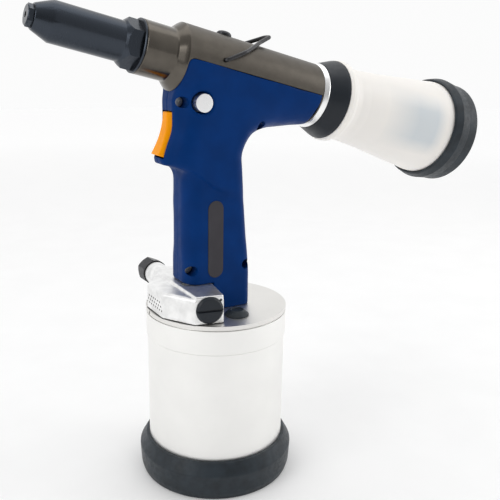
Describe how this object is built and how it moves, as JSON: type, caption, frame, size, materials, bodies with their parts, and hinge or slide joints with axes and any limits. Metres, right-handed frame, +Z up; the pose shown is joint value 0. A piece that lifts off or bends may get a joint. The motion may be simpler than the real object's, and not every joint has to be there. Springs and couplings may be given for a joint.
{
  "type": "pneumatic blind rivet gun",
  "caption": "Pistol-grip pneumatic-hydraulic rivet gun with an upright air cylinder, sloping barrel, pulling nose and translucent mandrel collector.",
  "frame": {"origin": "centre of the air cylinder's boot on the bench it stands on", "axes": "+Z up along the air cylinder, -X towards the nose, -Y the side with the label and suction button"},
  "size_m": [0.3445, 0.1263, 0.3275],
  "materials": {
    "black_rubber": "matt moulded rubber",
    "seal_rubber": "matt nitrile",
    "bright_aluminium": "satin, fine drawn",
    "plate_aluminium": "satin, turned",
    "turned_aluminium": "polished",
    "cast_aluminium": "shot-blasted casting",
    "bronze_alloy": "blasted, bronze-grey anodised",
    "nose_steel": "blackened, oiled",
    "ground_steel": "ground",
    "zinc_steel": "zinc plated",
    "spring_steel": "dark drawn wire",
    "black_steel": "black oxide",
    "bearing_bronze": "sintered bronze",
    "valve_brass": "turned brass",
    "grip_blue": "fine textured, deep blue",
    "trigger_orange": "satin orange",
    "label_grey": "smooth film",
    "black_plastic": "moulded black",
    "clear_plastic": "translucent, frosted",
    "grey_plastic": "moulded"
  },
  "bodies": {
    "root": {"rubber_boot": "black_rubber", "bumper_ring": "black_rubber", "head_plug": "black_rubber", "head_seal": "seal_rubber", "ram_seal": "seal_rubber", "filler_seal": "seal_rubber", "front_gland_seal": "seal_rubber", "collar_seal": "seal_rubber", "plug_seal": "seal_rubber", "inlet_seal": "seal_rubber", "block_gasket": "seal_rubber", "cylinder_can": "bright_aluminium", "cylinder_head": "plate_aluminium", "rear_ring": "turned_aluminium", "valve_block": "cast_aluminium", "barrel": "bronze_alloy", "nose_sleeve": "nose_steel", "nosepiece": "nose_steel", "front_lock_ring": "nose_steel", "hydraulic_tube": "ground_steel", "trigger_pin": "ground_steel", "tube_nut": "zinc_steel", "block_screws": "zinc_steel", "grip_screws": "zinc_steel", "inlet_stem": "zinc_steel", "piston_return_spring": "spring_steel", "filler_screw": "black_steel", "lock_screw": "black_steel", "ram_bush": "bearing_bronze", "rear_gland": "bearing_bronze", "silencer_pad": "bearing_bronze", "trigger_valve_body": "valve_brass", "suction_sleeve": "valve_brass", "pilot_tube": "valve_brass", "grip_left": "grip_blue", "grip_right": "grip_blue", "label_plate": "label_grey", "slotted_plug": "black_plastic", "collector_collar": "black_plastic"},
    "ram": {"air_piston": "turned_aluminium", "air_piston_seal": "seal_rubber", "piston_nut": "zinc_steel", "ram_rod": "ground_steel"},
    "draw": {"draw_piston": "ground_steel", "draw_piston_seal": "seal_rubber", "mandrel_tube": "ground_steel", "chuck_housing": "ground_steel", "jaw_spring": "spring_steel"},
    "jaw_set": {"jaws": "ground_steel", "jaw_pusher": "ground_steel"},
    "trigger": {"trigger": "trigger_orange"},
    "pilot_pin": {"trigger_valve_pin": "ground_steel"},
    "spool": {"valve_spool": "valve_brass"},
    "suction": {"suction_button": "turned_aluminium"},
    "hook": {"suspension_hook": "spring_steel"},
    "collector": {"collector_bottle": "clear_plastic", "collector_end_cap": "grey_plastic", "collector_end_ring": "black_rubber"},
    "inlet": {"inlet_nut": "black_steel"}
  },
  "joints": [
    {"name": "ram_stroke", "type": "slide", "parent": "root", "child": "ram", "axis": [0, 0, 1], "range_m": [0, 0.08]},
    {"name": "draw_stroke", "type": "slide", "parent": "root", "child": "draw", "axis": [0.9744, 0, -0.225], "range_m": [0, 0.018], "deforming": ["piston_return_spring"]},
    {"name": "jaw_release", "type": "slide", "parent": "draw", "child": "jaw_set", "axis": [0.9744, 0, -0.225], "range_m": [0, 0.002], "stiffness_N_per_m": 800, "springref_m": -0.003, "deforming": ["jaw_spring"]},
    {"name": "trigger_pull", "type": "hinge", "parent": "root", "child": "trigger", "pos_m": [-0.0325, 0, 0.2585], "axis": [0, -1, 0], "range_deg": [0, 12], "stiffness_Nm_per_rad": 0.3, "springref_deg": -8.59},
    {"name": "pilot_pin_travel", "type": "slide", "parent": "root", "child": "pilot_pin", "axis": [1, 0, 0], "range_m": [0, 0.0045]},
    {"name": "spool_shift", "type": "slide", "parent": "root", "child": "spool", "axis": [0.2029, 0.9792, 0], "range_m": [0, 0.0052]},
    {"name": "suction_switch", "type": "slide", "parent": "root", "child": "suction", "axis": [0, 1, 0], "range_m": [0, 0.004]},
    {"name": "hook_swing", "type": "hinge", "parent": "root", "child": "hook", "pos_m": [-0.00588, 0, 0.29597], "axis": [0, -1, 0], "range_deg": [0, 112]},
    {"name": "collector_pull_off", "type": "slide", "parent": "root", "child": "collector", "axis": [0.9744, 0, -0.225], "range_m": [0, 0.04]},
    {"name": "inlet_swivel", "type": "hinge", "parent": "root", "child": "inlet", "pos_m": [-0.0237, 0.055, 0.1372], "axis": [0, 1, 0], "continuous": true}
  ],
  "couplings": [
    {"joint": "draw_stroke", "follows": "ram_stroke", "ratio": 0.225},
    {"joint": "pilot_pin_travel", "follows": "trigger_pull", "m_per_rad": 0.0204},
    {"joint": "spool_shift", "follows": "trigger_pull", "m_per_rad": 0.0235}
  ]
}
